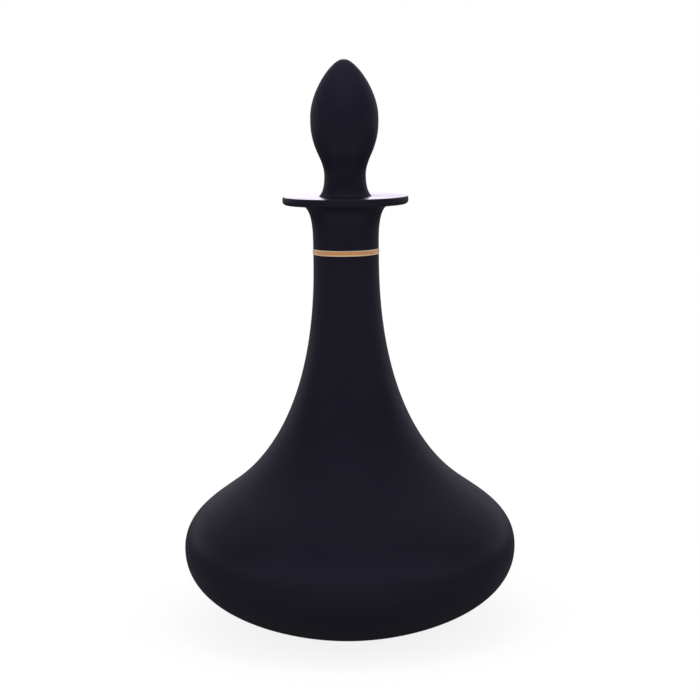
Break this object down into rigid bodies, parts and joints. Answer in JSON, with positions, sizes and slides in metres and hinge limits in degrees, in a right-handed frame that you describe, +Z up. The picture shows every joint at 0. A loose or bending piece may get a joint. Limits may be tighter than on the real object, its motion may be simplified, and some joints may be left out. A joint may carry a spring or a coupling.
{
  "type": "genie bottle",
  "caption": "Round flat-bellied glass decanter with a long waisted neck, disc lip, metal neck band and a flame-shaped stopper that lifts out.",
  "frame": {"origin": "middle of the base, on the plane that the bottle stands on", "axes": "+Z up, along the axis of every turned piece; the band's butt seam is at +Y, the back"},
  "size_m": [0.195, 0.195, 0.3303],
  "materials": {
    "black_glass": "satin black, opaque",
    "gold_metal": "polished, slightly rosy gold",
    "stopper_glass": "satin black, opaque",
    "seal_plastic": "soft translucent-white, matte"
  },
  "bodies": {
    "vessel": {"bottle": "black_glass", "neck_band": "gold_metal"},
    "seal": {"stopper_seal": "seal_plastic"},
    "closure": {"stopper": "stopper_glass"}
  },
  "joints": [
    {"name": "stopper_lift", "type": "slide", "parent": "vessel", "child": "seal", "axis": [0, 0, 1], "range_m": [0, 0.08]},
    {"name": "stopper_turn", "type": "hinge", "parent": "seal", "child": "closure", "pos_m": [0, 0, 0.252], "axis": [0, 0, 1], "continuous": true}
  ]
}
